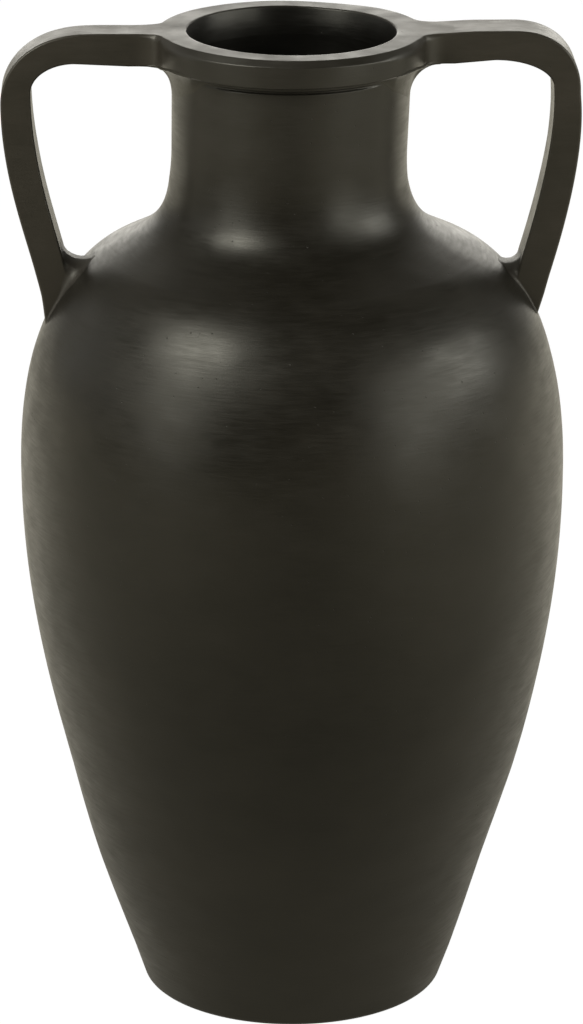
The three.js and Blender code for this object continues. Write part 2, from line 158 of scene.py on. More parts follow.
# The two straps as their maker left them, each drawn as if it stood on the right. Front and back are
# the distances of its faces from the middle plane, and twist is how much further out its back is.
# Outer and inner are how far out the limb's faces stand where its corner ends, and a corner is how
# far across and how far down its curve goes.
STRAPS = {
    "left": {
        "side": -1,
        "front": 10.9,
        "back": 14.4,
        "twist": -0.7,
        "front_web": (36.0, 25.0),  # radius of its curve, and degrees that it turns
        "back_web": (50.0, 25.0),
        "arm_thickness": (19.7, 18.1),  # at the root and where the corner starts
        "outer": 171.8,
        "outer_corner": (56.0, 43.0),
        "squareness": (0.84, 0.97),  # less than 1 draws the outer corner out beyond an ellipse
        "inner": 153.8,
        "inner_corner": (26.0, 17.5),
        "foot_thickness": 18.4,
        "landing": 438.0,
        "lean": 6.0,
        "pulls": (0.43, 0.23),
        "cove_reach": 12.0,
        "fillets": (13.0, 1.6, 2.0),  # radii round its foot, inside, at the sides and outside
        "skirt": 5.0,  # what the inner corners of its foot have on top of that
    },
    "right": {
        "side": 1,
        "front": 10.6,
        "back": 21.6,
        "twist": 1.1,
        "front_web": (20.0, 40.0),
        "back_web": (24.0, 36.0),
        "arm_thickness": (19.4, 17.5),
        "outer": 170.6,
        "outer_corner": (40.5, 37.5),
        "squareness": (0.88, 0.88),
        "inner": 154.6,
        "inner_corner": (35.0, 16.7),
        "foot_thickness": 19.2,
        "landing": 438.7,
        "lean": 17.7,
        "pulls": (0.05, 0.7),
        "cove_reach": 18.0,
        "fillets": (8.8, 1.3, 5.0),
        "skirt": 1.0,
    },
}
TWIST_START = RIM_TOP - 30  # the arms aren't twisted, and the limbs are in full from a little below
TWIST_RUN = 40.0
BURIED = 4.0  # how far a piece runs on under the skin of another
LIMB_PAST = 30.0  # how far its line is drawn on past its landing, to be cut at the skin
LIMB_LAST = 3.0  # how near to the skin its last rows start, which follow the skin's shape

# Luting round a limb's foot
FILLET_LEAST = 0.2  # at the limb's edges it has grown by this share
FILLET_GROWTH = 7.5  # how far from a limb's edges the luting has its full radius
SKIRT_SPREAD = 6.0  # how far from a limb's inner corners the skirt reaches
LUTING_DEPTH = 2.0  # how far it runs on into the limb and the shoulder

# Coils inside
FLOOR_COIL_SIZE = 13.0
FLOOR_COIL_FOOT = BASE_TOP + 0.35
FLOOR_COIL_HOLLOW = 3.0  # how far its face is drawn out of the corner, up and inwards
SEAM_COIL_HEIGHT = 24.0
SEAM_COIL_THICKNESS = 3.0
COIL_EDGE = 0.6
DABS = 26  # fingertip marks round a coil
DAB_DRIFT = 1.4  # how unevenly they follow each other, in radians of their wave
FLOOR_DAB, SEAM_DAB = 0.5, 0.55  # how deep they are

# Fineness
TURN_STEPS = 180
LENGTH_STEP = 2.0
SEAM_COIL_ROWS = 13
SKIN_SPAN, SKIN_STEP = (380.0, 500.0), 0.1  # heights between which a limb's foot is measured
SHARP_ANGLE = 48.0  # degrees between faces from which an edge is sharp
WELD = 0.004  # points nearer than this are one

# Where the rim slab's rows of points lie over its side, top, underside and mouth, as shares
SIDE_SHARES, TOP_SHARES = (0.1, 0.37, 0.63, 0.9), (0.06, 0.25, 0.45, 0.65, 0.85, 0.96)
UNDER_SHARES, MOUTH_SHARES = (0.12, 0.45, 0.75), (0, 0.2, 0.4, 0.6, 0.8, 0.93)
# Degrees beyond the web at which its columns stand, closest where its shape changes most
NEAR_TURNS, FAR_START, FAR_COUNT = (0, 0.8, 2.0, 3.5, 5.5, 8.0), 10.0, 34


# Points and lines

def unit(vector):
    """Vectors, one in each row, made one long."""
    return vector / np.linalg.norm(vector, axis=-1, keepdims=True)


def climb(lean):
    """The way a line runs as it climbs, leaning outwards by so many degrees."""
    return np.array([math.sin(math.radians(lean)), math.cos(math.radians(lean))])


def mix(first, second, share):
    """What lies between two values, a share of the way from the first to the second."""
    return first * (1 - share) + second * share


def eased(share):
    """A share that starts and ends gently."""
    return share**2 * (3 - 2 * share)


def bend(start, start_pull, end_pull, end, count):
    """Points of a Bezier curve and the ways it runs there."""
    s = np.linspace(0, 1, count)[:, None]
    a, b, c, d = (np.asarray(p, float) for p in (start, start_pull, end_pull, end))
    places = a * (1 - s) ** 3 + 3 * b * s * (1 - s) ** 2 + 3 * c * s**2 * (1 - s) + d * s**3
    ways = (b - a) * (1 - s) ** 2 + 2 * (c - b) * s * (1 - s) + (d - c) * s**2
    return places, unit(ways)


def arc(centre, radius, start, end, steps):
    """Points of an arc, from one angle to another, in degrees."""
    turn = np.radians(np.linspace(start, end, steps + 1))
    return np.stack([centre[0] + radius * np.cos(turn), centre[1] + radius * np.sin(turn)], 1)


def softened(start, corner, end, steps=3):
    """Points of a corner that is softened between two points."""
    s = np.linspace(0, 1, steps + 1)[:, None]
    start, corner, end = (np.asarray(p, float) for p in (start, corner, end))
    return start * (1 - s) ** 2 + 2 * corner * s * (1 - s) + end * s**2


def arris(inset, drop, blur=CRISP):
    """Section of an arris: how far in and how far down it goes, crisp above and blurred below."""
    length = math.hypot(inset, drop)
    slope = np.array([-inset, drop]) / length
    crisp = min(CRISP, 0.4 * length)
    top = np.array([inset, 0])
    low = np.array([0, drop])
    upper = softened(top + (crisp, 0), top, top + slope * crisp)
    lower = softened(low - slope * min(blur, 0.55 * length), low, low + (0, blur), 4)
    return np.vstack([upper, lower])


def steps_over(length):
    """How many points a line of this length gets."""
    return max(2, int(round(length / LENGTH_STEP)) + 1)


# Outline of the body

def outline():
    """Points up the outside of the body and the inside of its wall, as radius and height."""
    foot, belly = np.array([FOOT_RADIUS, 0]), np.array([BELLY_RADIUS, BELLY_HEIGHT])
    shoulder, neck = np.array([SHOULDER_RADIUS, SHOULDER_HEIGHT]), np.array([NECK_RADIUS, NECK_HEIGHT])
    top = np.array([NECK_TOP_RADIUS, RIM_UNDERSIDE])
    foot_way, shoulder_way, upright = climb(FOOT_LEAN), climb(-SHOULDER_LEAN), climb(0)
    shoulder_rise = SHOULDER_HEIGHT - BELLY_HEIGHT
    below = SHOULDER_PULL_BELOW * (BELLY_RADIUS - SHOULDER_RADIUS) / -shoulder_way[0]
    above = SHOULDER_PULL_ABOVE * (SHOULDER_RADIUS - NECK_RADIUS) / -shoulder_way[0]
    stretches = (
        (
            foot,
            foot + foot_way * FOOT_PULL * BELLY_HEIGHT / foot_way[1],
            belly - upright * BELLY_PULL_BELOW * BELLY_HEIGHT,
            belly,
            FOOT_WALL,
            BELLY_WALL,
        ),
        (
            belly,
            belly + upright * BELLY_PULL_ABOVE * shoulder_rise,
            shoulder - shoulder_way * below,
            shoulder,
            BELLY_WALL,
            SHOULDER_WALL,
        ),
        (
            shoulder,
            shoulder + shoulder_way * above,
            neck - upright * NECK_PULL * (NECK_HEIGHT - SHOULDER_HEIGHT),
            neck,
            SHOULDER_WALL,
            NECK_WALL,
        ),
        (neck, neck * 2 / 3 + top / 3, neck / 3 + top * 2 / 3, top, NECK_WALL, NECK_WALL + MOUTH_FLARE),
    )
    outside, inside = [], []
    for start, start_pull, end_pull, end, first_wall, last_wall in stretches:
        count = steps_over(np.linalg.norm(end - start) * 1.3)
        places, ways = bend(start, start_pull, end_pull, end, count)
        wall = np.linspace(first_wall, last_wall, count)[:, None]
        outwards = np.stack([ways[:, 1], -ways[:, 0]], 1)
        outside.append(places[:-1])
        inside.append((places - outwards * wall)[:-1])
    outside.append([top])
    inside.append([[MOUTH_RADIUS - MOUTH_FLARE, RIM_UNDERSIDE]])
    return np.vstack(outside), np.vstack(inside)


OUTSIDE, INSIDE = outline()


def radius_at(line, height):
    """The radius of a climbing line at a height."""
    return np.interp(height, line[:, 1], line[:, 0])


def between(line, low, high):
    """The stretch of a climbing line between two heights."""
    apart = 0.3  # the line's own points that are nearer to an end are left out
    middle = line[(line[:, 1] > low + apart) & (line[:, 1] < high - apart)]
    return np.vstack([[radius_at(line, low), low], middle, [radius_at(line, high), high]])


# Meshes

def handmade(points):
    """Points of the true shape, moved as far as a hand-built vase is off it."""
    x, y, z = points.T
    turn = np.arctan2(y, x)
    height = z / RIM_TOP
    two = np.sin(2 * turn + 0.7 + 4.1 * height)
    three = np.sin(3 * turn - 1.9 - 7.3 * height)
    lumps = (two + THREE_LUMPS * three) / (1 + THREE_LUMPS)
    shrink = 1 - LUMP_DEPTH * (1 + lumps) * np.clip(LUMPS_END - height, 0, 1)
    away = np.hypot(x, y) - radius_at(OUTSIDE, z)
    lean = np.interp(z, LEAN_HEIGHTS, LEANS) * np.clip(1 - away / LEAN_FADE, 0, 1)
    near_top = np.clip((z - RIM_UNDERSIDE - SAG_START) / SAG_RISE, 0, 1)
    near_ring = np.clip((SAG_RADIUS - np.hypot(x, y)) / SAG_FADE, 0, 1)
    sag = np.clip(RIM_SAG + SAG_TO_BACK * y + SAG_TO_RIGHT * x, LEAST_SAG, MOST_SAG)
    sag += DIP_DEPTH * np.exp(-(((turn - math.radians(DIP_TURN)) / DIP_WIDTH) ** 2))
    sag *= near_top * eased(near_ring)
    return np.stack([x * shrink + lean, y * shrink, z - sag], 1)


def added(name, data):
    """An object with this data, in the scene."""
    made = bpy.data.objects.new(name, data)
    bpy.context.scene.collection.objects.link(made)
    return made


def mesh_piece(cad_node, vertices, faces, material):
    """A piece of the vase from points in millimetres, standing for a CAD node."""
    name = cad_node + "_clay"
    mesh = bpy.data.meshes.new(name)
    mesh.from_pydata((handmade(vertices) * MM).tolist(), [], faces)
    mesh.validate()
    piece = added(name, mesh)
    tidy_mesh(mesh)
    mesh.materials.append(material)
    normals = piece.modifiers.new("even shading", "WEIGHTED_NORMAL")
    normals.keep_sharp = True
    normals.weight = 50
    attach(piece, "root")
    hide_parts(cad_node)
    return piece


def tidy_mesh(mesh):
    """Joins points that coincide, turns all faces outwards and shades them smoothly."""
    work = bmesh.new()
    work.from_mesh(mesh)
    bmesh.ops.remove_doubles(work, verts=work.verts, dist=WELD * MM)
    bmesh.ops.recalc_face_normals(work, faces=work.faces)
    work.to_mesh(mesh)
    work.free()
    mesh.shade_smooth()
    mesh.set_sharp_from_angle(angle=math.radians(SHARP_ANGLE))


def grid_faces(rows, columns, wrap_rows, wrap_columns):
    """Faces over a grid of points, closed round either way."""
    faces = []
    for row in range(rows if wrap_rows else rows - 1):
        over = (row + 1) % rows * columns
        for column in range(columns if wrap_columns else columns - 1):
            beside = (column + 1) % columns
            here = row * columns
            faces.append((here + column, here + beside, over + beside, over + column))
    return faces


def loft(cad_node, rows, material, closed=True):
    """A piece from rows of points, joined in a ring of rows or else capped at both ends."""
    points = np.asarray(rows)
    count, size = points.shape[:2]
    faces = grid_faces(count, size, closed, True)
    if not closed:
        faces.append(tuple(range(size))[::-1])
        faces.append(tuple((count - 1) * size + step for step in range(size)))
    return mesh_piece(cad_node, points.reshape(-1, 3), faces, material)


def turned(section, dabs=None):
    """Points of a section of radius and height, turned round the axis, one row a point.

    Fingertip marks can be pressed into it, with a depth for each row.
    """
    turn = np.linspace(0, 2 * math.pi, TURN_STEPS, endpoint=False)
    radius = np.repeat(section[:, :1], TURN_STEPS, 1)
    if dabs is not None:
        radius = radius + dabs[:, None] * np.cos(DABS * turn + DAB_DRIFT * np.sin(3 * turn))
    height = np.repeat(section[:, 1:], TURN_STEPS, 1)
    return np.stack([radius * np.cos(turn), radius * np.sin(turn), height], 2)


def wall_piece(cad_node, low, high, material):
    """A length of the body's wall between two heights."""
    section = np.vstack([between(OUTSIDE, low, high), between(INSIDE, low, high)[::-1]])
    return loft(cad_node, turned(section), material)


def neck_piece(material):
    """The neck, with the line below the rim that was smoothed over only towards the arms."""
    outside = between(OUTSIDE, NECK_SEAM, RIM_UNDERSIDE)
    middle = RIM_UNDERSIDE - GROOVE_BELOW_RIM
    outside = outside[abs(outside[:, 1] - middle) > GROOVE_CLEARANCE]
    depth = GROOVE_DEPTH * np.array(GROOVE_SHAPE)
    height = middle + np.array(GROOVE_PLACES) * GROOVE_WIDTH / 2
    groove = np.stack([radius_at(OUTSIDE, height) - depth, height], 1)
    above = outside[:, 1] > middle
    section = np.vstack([outside[~above], groove, outside[above]])
    points = turned(np.vstack([section, between(INSIDE, NECK_SEAM, RIM_UNDERSIDE)[::-1]]))
    first = np.count_nonzero(~above)
    rows = points[first : first + len(groove), :, :2]
    radius = np.linalg.norm(rows, axis=2, keepdims=True)
    filled = np.interp(abs(rows[..., :1]) / radius, GROOVE_FADE, (0, 1))
    rows *= 1 + depth[:, None, None] * filled / radius
    return loft("neck", points, material)


def base_piece(material):
    """The disc under the wall, with a rounded edge and a foot ring."""
    lean = math.radians(FOOT_LEAN)
    centre = (FOOT_RADIUS - FOOT_ARRIS * (1 - math.sin(lean)) / math.cos(lean), FOOT_ARRIS)
    edge = arc(centre, FOOT_ARRIS, -90, -FOOT_LEAN, 6)
    ring_inside = FOOT_RADIUS - FOOT_RING_WIDTH
    slope_top = ring_inside - RECESS_SLOPE
    high_end, low_end = 1 - RECESS_ROUNDING, RECESS_ROUNDING
    section = np.vstack([
        [(RECESS_HUB, FOOT_RECESS), (ring_inside * 0.6, FOOT_RECESS)],
        softened(
            (slope_top - 3, FOOT_RECESS),
            (slope_top, FOOT_RECESS),
            (ring_inside - RECESS_SLOPE * high_end, FOOT_RECESS * high_end),
        ),
        softened(
            (ring_inside - RECESS_SLOPE * low_end, FOOT_RECESS * low_end),
            (ring_inside, 0),
            (ring_inside + 1, 0),
        ),
        edge,
        between(OUTSIDE, edge[-1, 1] + 1, WALL_FOOT),
        [(ring_inside * 0.6, WALL_FOOT), (RECESS_HUB, WALL_FOOT)],
    ])
    return loft("base_disc", turned(section), material, closed=False)


def floor_coil(material):
    """A coil pressed into the corner of floor and wall, with a hollow face."""
    side = between(INSIDE, FLOOR_COIL_FOOT, FLOOR_COIL_FOOT + FLOOR_COIL_SIZE)
    corner, high = side[0], side[-1]
    near = corner[0] - FLOOR_COIL_SIZE
    hollow = corner + (-FLOOR_COIL_HOLLOW, FLOOR_COIL_HOLLOW)
    face = softened((high[0] - COIL_EDGE, high[1]), hollow, (near, FLOOR_COIL_FOOT + COIL_EDGE), 10)
    section = np.vstack([[(near, FLOOR_COIL_FOOT)], side, face])
    dabs = np.zeros(len(section))
    dabs[-len(face) :] = FLOOR_DAB * np.sin(np.linspace(0, math.pi, len(face)))
    return loft("floor_joint_coil", turned(section, dabs), material)


def seam_coil(cad_node, seam, material):
    """A coil smeared over a joint of the wall, with fingertip marks."""
    half = SEAM_COIL_HEIGHT / 2
    height = np.linspace(seam - half, seam + half, SEAM_COIL_ROWS)
    swell = np.sin(np.linspace(0, math.pi, SEAM_COIL_ROWS))
    wall = radius_at(INSIDE, height)
    face = wall - COIL_EDGE - (SEAM_COIL_THICKNESS - COIL_EDGE) * swell
    section = np.vstack([np.stack([wall + 1, height], 1), np.stack([face, height], 1)[::-1]])
    dabs = np.concatenate([np.zeros(SEAM_COIL_ROWS), SEAM_DAB * swell])
    return loft(cad_node, turned(section, dabs), material)


# The rim with the webs and the roots of the arms, in one slab

def web_curve(strap, where):
    """The curve in plan from an arm's face to the ring: its centre and its end on the ring."""
    radius, turn = strap[where + "_web"]
    turn = math.radians(turn)
    across = strap[where] + radius * (1 - math.cos(turn))
    end = np.array([math.sqrt(RIM_RADIUS**2 - across**2), across])
    return end + radius * np.array([math.sin(turn), math.cos(turn)]), end


def quarter_plan(strap, where):
    """A quarter of the slab's edge, from the end of an arm to the front or back of the ring.

    Each column is its place and outward way in plan, its upper arris, its lower arris and the
    height of its underside. The end of an arm has no upper arris, so there it is None.
    """
    face = strap[where]
    low = RIM_TOP - strap["arm_thickness"][0]
    arm_arris = (ARM_ARRIS, ARM_ARRIS, CRISP)
    inner = face - ARM_ARRIS - CRISP
    columns = [((WEB_START, y), (1, 0), None, ARM_ARRIS, low) for y in np.linspace(0, inner, 5)]
    centre, end = web_curve(strap, where)
    radius, turn = strap[where + "_web"]
    for x in np.linspace(WEB_START, max(centre[0], ARM_NEAREST), 4)[:-1]:
        columns.append(((x, face), (0, 1), arm_arris, ARM_ARRIS, low))
    crease = min(WEB_CREASE, CREASE_SHARE * radius * math.radians(turn))
    stop = math.radians(turn) - crease / radius
    for angle in np.linspace(0, stop, 9):
        way = np.array([math.sin(angle), math.cos(angle)])
        share = angle / stop
        inset, drop = (ARM_ARRIS + (size - ARM_ARRIS) * share for size in WEB_ARRIS)
        columns.append((centre - radius * way, way, (inset, drop, CRISP + share), ARM_ARRIS, low))
    start = math.atan2(end[1], end[0])
    beyond = start + crease / RIM_RADIUS
    after = np.array([math.cos(beyond), math.sin(beyond)])
    smoothed = softened(columns[-1][0], end, after * RIM_RADIUS, 5)[1:-1]
    for share, place in zip((0.2, 0.4, 0.6, 0.8), smoothed):
        blend = (mix(a, b, share) for a, b in zip((*WEB_ARRIS, WEB_BLUR), ring_arris(where, 0)))
        columns.append((place, unit(mix(way, after, share)), tuple(blend), ARM_ARRIS, low))
    near = beyond + np.radians(NEAR_TURNS)
    far = np.linspace(beyond + math.radians(FAR_START), math.pi / 2, FAR_COUNT)
    for angle in np.concatenate([near, far]):
        way = np.array([math.cos(angle), math.sin(angle)])
        past = math.degrees(angle - beyond)
        rise = min(1, past / UNDERSIDE_BLEND) * (RIM_UNDERSIDE - low)
        under = np.interp(past, UNDER_TURNS, UNDER_ARRISES)
        columns.append((way * RIM_RADIUS, way, ring_arris(where, past), under, low + rise))
    return columns


def ring_arris(where, past):
    """The ring's upper arris, so many degrees past the web."""
    tables = (RING_INSETS, RING_DROPS, RING_BLURS)
    return tuple(np.interp(past, RING_TURNS, table[where]) for table in tables)


def whole_plan():
    """The slab's edge all round, from the end of the right arm by the back and the left to the front."""

    def mirrored(columns, x, y):
        return [((p[0] * x, p[1] * y), (w[0] * x, w[1] * y), *rest) for p, w, *rest in columns]

    right, left = STRAPS["right"], STRAPS["left"]
    back_right = quarter_plan(right, "back")
    back_left = mirrored(quarter_plan(left, "back")[:-1], -1, 1)[::-1]
    front_left = mirrored(quarter_plan(left, "front")[1:], -1, -1)
    front_right = mirrored(quarter_plan(right, "front")[1:-1], 1, -1)[::-1]
    return back_right + back_left + front_left + front_right


def slab_column(place, way, upper, lower, underside):
    """One section of the slab, from the mouth over the top and the edge and back underneath."""
    place, way = np.array(place, float), np.array(way, float)
    top_edge, low_edge = arris(*(upper or (1, 1))), arris(lower, lower)[::-1]
    if upper is None:
        top_edge, low_edge = top_edge * 0, low_edge * 0
    edge = [(*(place - way * inset), RIM_TOP - drop) for inset, drop in top_edge]
    low = [(*(place - way * inset), underside + rise) for inset, rise in low_edge]
    side = [mix(np.array(edge[-1]), np.array(low[0]), share) for share in SIDE_SHARES]
    inner = np.array(edge[0][:2])
    out = inner / np.linalg.norm(inner)
    lip = out * (MOUTH_RADIUS + MOUTH_ARRIS)
    top = [(*mix(lip, inner, share), RIM_TOP) for share in TOP_SHARES]
    hidden = out * (MOUTH_RADIUS - MOUTH_FLARE)
    deep = np.array(low[-1][:2])
    under = [
        (*mix(deep, hidden, share), mix(underside, RIM_UNDERSIDE, share)) for share in UNDER_SHARES
    ]
    wall = []
    for share in MOUTH_SHARES:
        radius = MOUTH_RADIUS - MOUTH_FLARE * (1 - share**2)
        rise = (RIM_TOP - MOUTH_ARRIS - RIM_UNDERSIDE) * share
        wall.append((*(out * radius), RIM_UNDERSIDE + rise))
    mouth = arc((MOUTH_RADIUS + MOUTH_ARRIS, RIM_TOP - MOUTH_ARRIS), MOUTH_ARRIS, 180, 90, 5)
    lips = [(*(out * radius), z) for radius, z in mouth]
    return np.vstack([wall, lips, top, edge, side, low, under])


def rim_slab(material):
    """The rim ring, the webs and the roots of both arms, which are one sheet of clay on top."""
    return loft("rim_ring", [slab_column(*column) for column in whole_plan()], material)


# The cove under an arm

def arm_cove(cad_node, strap, material):
    """Clay wiped into the corner under the rim, deep under the arm and thin all round the neck."""
    turns = np.concatenate([np.linspace(0, 60, 61), np.linspace(63, 90, 10)])
    rows = [cove_row(strap, "front", turn, -1) for turn in turns[:0:-1]]
    rows += [cove_row(strap, "back", turn, 1) for turn in turns]
    return loft(cad_node, rows, material, closed=False)


def cove_row(strap, where, turn, face):
    """The cove's section at so many degrees from the arm."""
    edge = [(np.array(place), low) for place, _, _, _, low in quarter_plan(strap, where)]
    edge_turns = [math.degrees(math.atan2(place[1], place[0])) for place, _ in edge]
    limit = np.interp(turn, edge_turns, [np.linalg.norm(place) for place, _ in edge])
    under = np.interp(turn, edge_turns, [low for _, low in edge])
    drop = np.interp(turn, COVE_TURNS, COVE_DROPS)
    root = radius_at(OUTSIDE, under - drop)
    reaches = (strap["cove_reach"], strap["cove_reach"], *COVE_REACHES)
    reach = min(np.interp(turn, COVE_TURNS, reaches), limit - root - COVE_MARGIN)
    angle = np.linspace(0, math.pi / 2, 13)
    bead = np.interp(turn, BEAD_TURNS, BEAD_SIZES, 0, 0)
    edge = root + reach
    lip = limit - edge + bead if bead > 0 else 0
    hollow = [root + reach * (1 - np.cos(angle)), under - drop * (1 - np.sin(angle))]
    section = np.vstack([
        [(root - COVE_ROOT, under - drop - 1), (root - 0.4, under - drop - 0.6)],
        np.stack(hollow, 1),
        [(edge + lip * 0.6, under + 0.1), (edge + lip, under + 0.6), (edge + lip * 0.95, under + 1.2)],
        [(edge + lip * 0.6, under + 1.8), (edge, under + COVE_TOP), (root - COVE_ROOT, under + COVE_TOP)],
    ])
    turn = math.radians(turn)
    x = section[:, 0] * math.cos(turn) * strap["side"]
    y = section[:, 0] * math.sin(turn) * face
    return np.stack([x, y, section[:, 1]], 1)


# Handles

def strap_edges(strap):
    """Pairs of places, on the outer and the inner face of a strap, from its root to its foot."""
    root, thin = strap["arm_thickness"]
    corners = []
    faces = (("outer", RIM_TOP, strap["squareness"]), ("inner", RIM_TOP - thin, (1, 1)))
    for face, height, powers in faces:
        across, down = strap[face + "_corner"]
        turn = np.radians(np.linspace(0, 90, 31))[:, None]
        centre = np.array([strap[face] - across, height - down])
        curve = np.hstack([np.sin(turn), np.cos(turn)]).clip(0) ** powers
        corners.append(centre + curve * (across, down))
    share = np.linspace(0, 1, 12)[:-1, None]
    root_ends = ((WEB_START, RIM_TOP), (WEB_START, RIM_TOP - root))
    arms = [np.array(end) * (1 - share) + corner[0] * share for end, corner in zip(root_ends, corners)]
    landing = np.array([radius_at(OUTSIDE, strap["landing"]), strap["landing"]])
    lean = climb(strap["lean"])
    pull_above, pull_below = strap["pulls"]
    limbs = []
    for corner, side in zip(corners, (0.5, -0.5)):
        start, end = corner[-1], landing + strap["foot_thickness"] * side * np.array([lean[1], -lean[0]])
        drop = start[1] - end[1]
        above, below = start - (0, pull_above * drop), end + lean * pull_below * drop / lean[1]
        limbs.append(bend(start, above, below, end, 50)[0][1:])
    past = -lean * np.linspace(0, LIMB_PAST, 16)[1:, None]
    lines = zip(arms, corners, limbs, (limb[-1] + past for limb in limbs))
    outer, inner = (np.vstack(line) for line in lines)
    return outer, inner


def strap_section(strap, thickness):
    """Points round a strap's section: how far outwards and how far back."""
    half = thickness / 2
    edge = arris(ARM_ARRIS, ARM_ARRIS)

    def half_round(deep):
        corner = np.stack([half - edge[:, 1], deep - edge[:, 0]], 1)
        top = [(half, share * deep) for share in (0, 0.4, 0.75)]
        side = [(share * half, deep) for share in (0.75, 0.5, 0.25, 0, -0.25, -0.5, -0.75)]
        bottom = [(-half, share * deep) for share in (0.75, 0.4, 0)]
        return np.vstack([top, corner, side, corner[::-1] * (-1, 1), bottom])

    back, front = half_round(strap["back"]), half_round(strap["front"])
    return np.vstack([back, front[1:-1][::-1] * (1, -1)])


def skin_distance(points):
    """How far points are outside the body's skin, and the number of the skin's nearest point.

    The distance is less than 0 inside the skin.
    """
    radius = np.hypot(points[:, 0], points[:, 1])
    flat = np.stack([radius, points[:, 2]], 1)
    nearest = np.linalg.norm(flat[:, None] - SHOULDER_LINE[None], axis=2).argmin(1)
    away = flat - SHOULDER_LINE[nearest]
    return np.einsum("ij,ij->i", away, SHOULDER_WAYS[nearest]), nearest


def shoulder_line():
    """A fine copy of the outline round the limbs' feet, with the outward way at each point."""
    height = np.arange(*SKIN_SPAN, SKIN_STEP)
    line = np.stack([radius_at(SMOOTH, height), height], 1)
    way = np.gradient(line, axis=0)
    return line, unit(np.stack([way[:, 1], -way[:, 0]], 1))


def smooth_outline():
    """The outside with its points close enough to be measured against."""
    height = np.arange(0, RIM_UNDERSIDE, 0.5)
    return np.stack([radius_at(OUTSIDE, height), height], 1)


SMOOTH = smooth_outline()
SHOULDER_LINE, SHOULDER_WAYS = shoulder_line()


def strap_rows(strap):
    """The strap's section at each pair of places, with its outward way there."""
    rows, ways = [], []
    for outer, inner in zip(*strap_edges(strap)):
        section = strap_section(strap, np.linalg.norm(outer - inner))
        way = unit(outer - inner)
        x = (outer[0] + inner[0]) / 2 + section[:, 0] * way[0]
        z = (outer[1] + inner[1]) / 2 + section[:, 0] * way[1]
        y = section[:, 1]
        twisted = strap["twist"] * (y + strap["front"]) / (strap["front"] + strap["back"])
        rows.append(np.stack([x + twisted * np.clip((TWIST_START - z) / TWIST_RUN, 0, 1), y, z], 1))
        ways.append((way[0], 0, way[1]))
    return np.array(rows), np.array(ways)


def at_row(rows, place):
    """Each column's point so many rows along, the same for all columns or one for each."""
    place = np.broadcast_to(place, rows.shape[1])
    first = np.clip(place.astype(int), 0, len(rows) - 2)
    share = (place - first)[:, None]
    column = np.arange(rows.shape[1])
    return mix(rows[first, column], rows[first + 1, column], share)


def rows_to_skin(rows, depth):
    """How many rows along each column comes so near to the skin."""
    distance = skin_distance(rows.reshape(-1, 3))[0].reshape(rows.shape[:2]) - depth
    below = np.argmax((distance < 0) & (rows[:, :, 2] < NECK_SEAM), 0)
    column = np.arange(rows.shape[1])
    high, low = distance[below - 1, column], distance[below, column]
    return below - 1 + high / (high - low)


def handle(cad_node, strap, material):
    """One strap of clay from the arm round the corner down into the shoulder."""
    rows, _ = strap_rows(strap)
    landing, buried = rows_to_skin(rows, 0.0), rows_to_skin(rows, -BURIED)
    free = int(rows_to_skin(rows, LIMB_LAST).min())
    lower = [at_row(rows, free + (landing - free) * share) for share in (0.2, 0.4, 0.6, 0.8, 1)]
    points = np.stack([*rows[: free + 1], *lower, at_row(rows, buried)])
    points[:, :, 0] *= strap["side"]
    return loft(cad_node, points, material, closed=False)


def luting_radius(strap, section, outwards):
    """The luting's radius at each point of the limb's section, which faces outwards by so much."""
    from_edge = np.minimum(strap["back"] - section[:, 1], section[:, 1] + strap["front"])
    growth = eased(np.clip(from_edge / FILLET_GROWTH, 0, 1))
    within, beside, without = strap["fillets"]
    full = np.where(outwards < 0, within, without)
    radius = beside + (full - beside) * mix(FILLET_LEAST, 1, growth) * outwards**2
    from_corner = np.hypot(section[:, 0] + strap["foot_thickness"] / 2, from_edge)
    return radius + strap["skirt"] * np.exp(-((from_corner / SKIRT_SPREAD) ** 2))


def limb_luting(cad_node, strap, material):
    """Clay drawn round the limb's foot with a fingertip, wide inside the handle and thin outside.

    Its face is hollow, as if a ball had rolled round the foot that touches limb and shoulder.
    """
    rows, ways = strap_rows(strap)
    section = strap_section(strap, strap["foot_thickness"])
    onward = np.roll(section, -1, 0) - np.roll(section, 1, 0)
    facing = unit(np.stack([onward[:, 1], -onward[:, 0]], 1))
    facing *= np.sign((facing * section).sum(1, keepdims=True))
    radius = luting_radius(strap, section, facing[:, 0])
    across = facing[None, :, :1] * ways[:, None] + facing[None, :, 1:] * np.array([0, 1.0, 0])
    place = rows_to_skin(rows + across * radius[:, None], radius)
    normal = unit(at_row(across, place))
    centres = at_row(rows, place) + normal * radius[:, None]
    nearest = skin_distance(centres)[1]
    around = unit(centres[:, :2])
    skin_normal = np.column_stack([SHOULDER_WAYS[nearest][:, :1] * around, SHOULDER_WAYS[nearest][:, 1]])
    angle = np.arccos(np.clip((normal * skin_normal).sum(1), -1, 1))[:, None]
    made = []
    for step in np.linspace(0, 1, 10):
        mixed = np.sin((1 - step) * angle) * normal + np.sin(step * angle) * skin_normal
        made.append(centres - radius[:, None] * mixed / np.sin(angle))
    made.append(made[-1] - skin_normal * LUTING_DEPTH)
    made.append(at_row(rows, rows_to_skin(rows, -LUTING_DEPTH)) - normal * LUTING_DEPTH)
    made.append(made[0] - normal * LUTING_DEPTH)
    points = np.stack(made)
    points[:, :, 0] *= strap["side"]
    return loft(cad_node, points, material)


# Materials

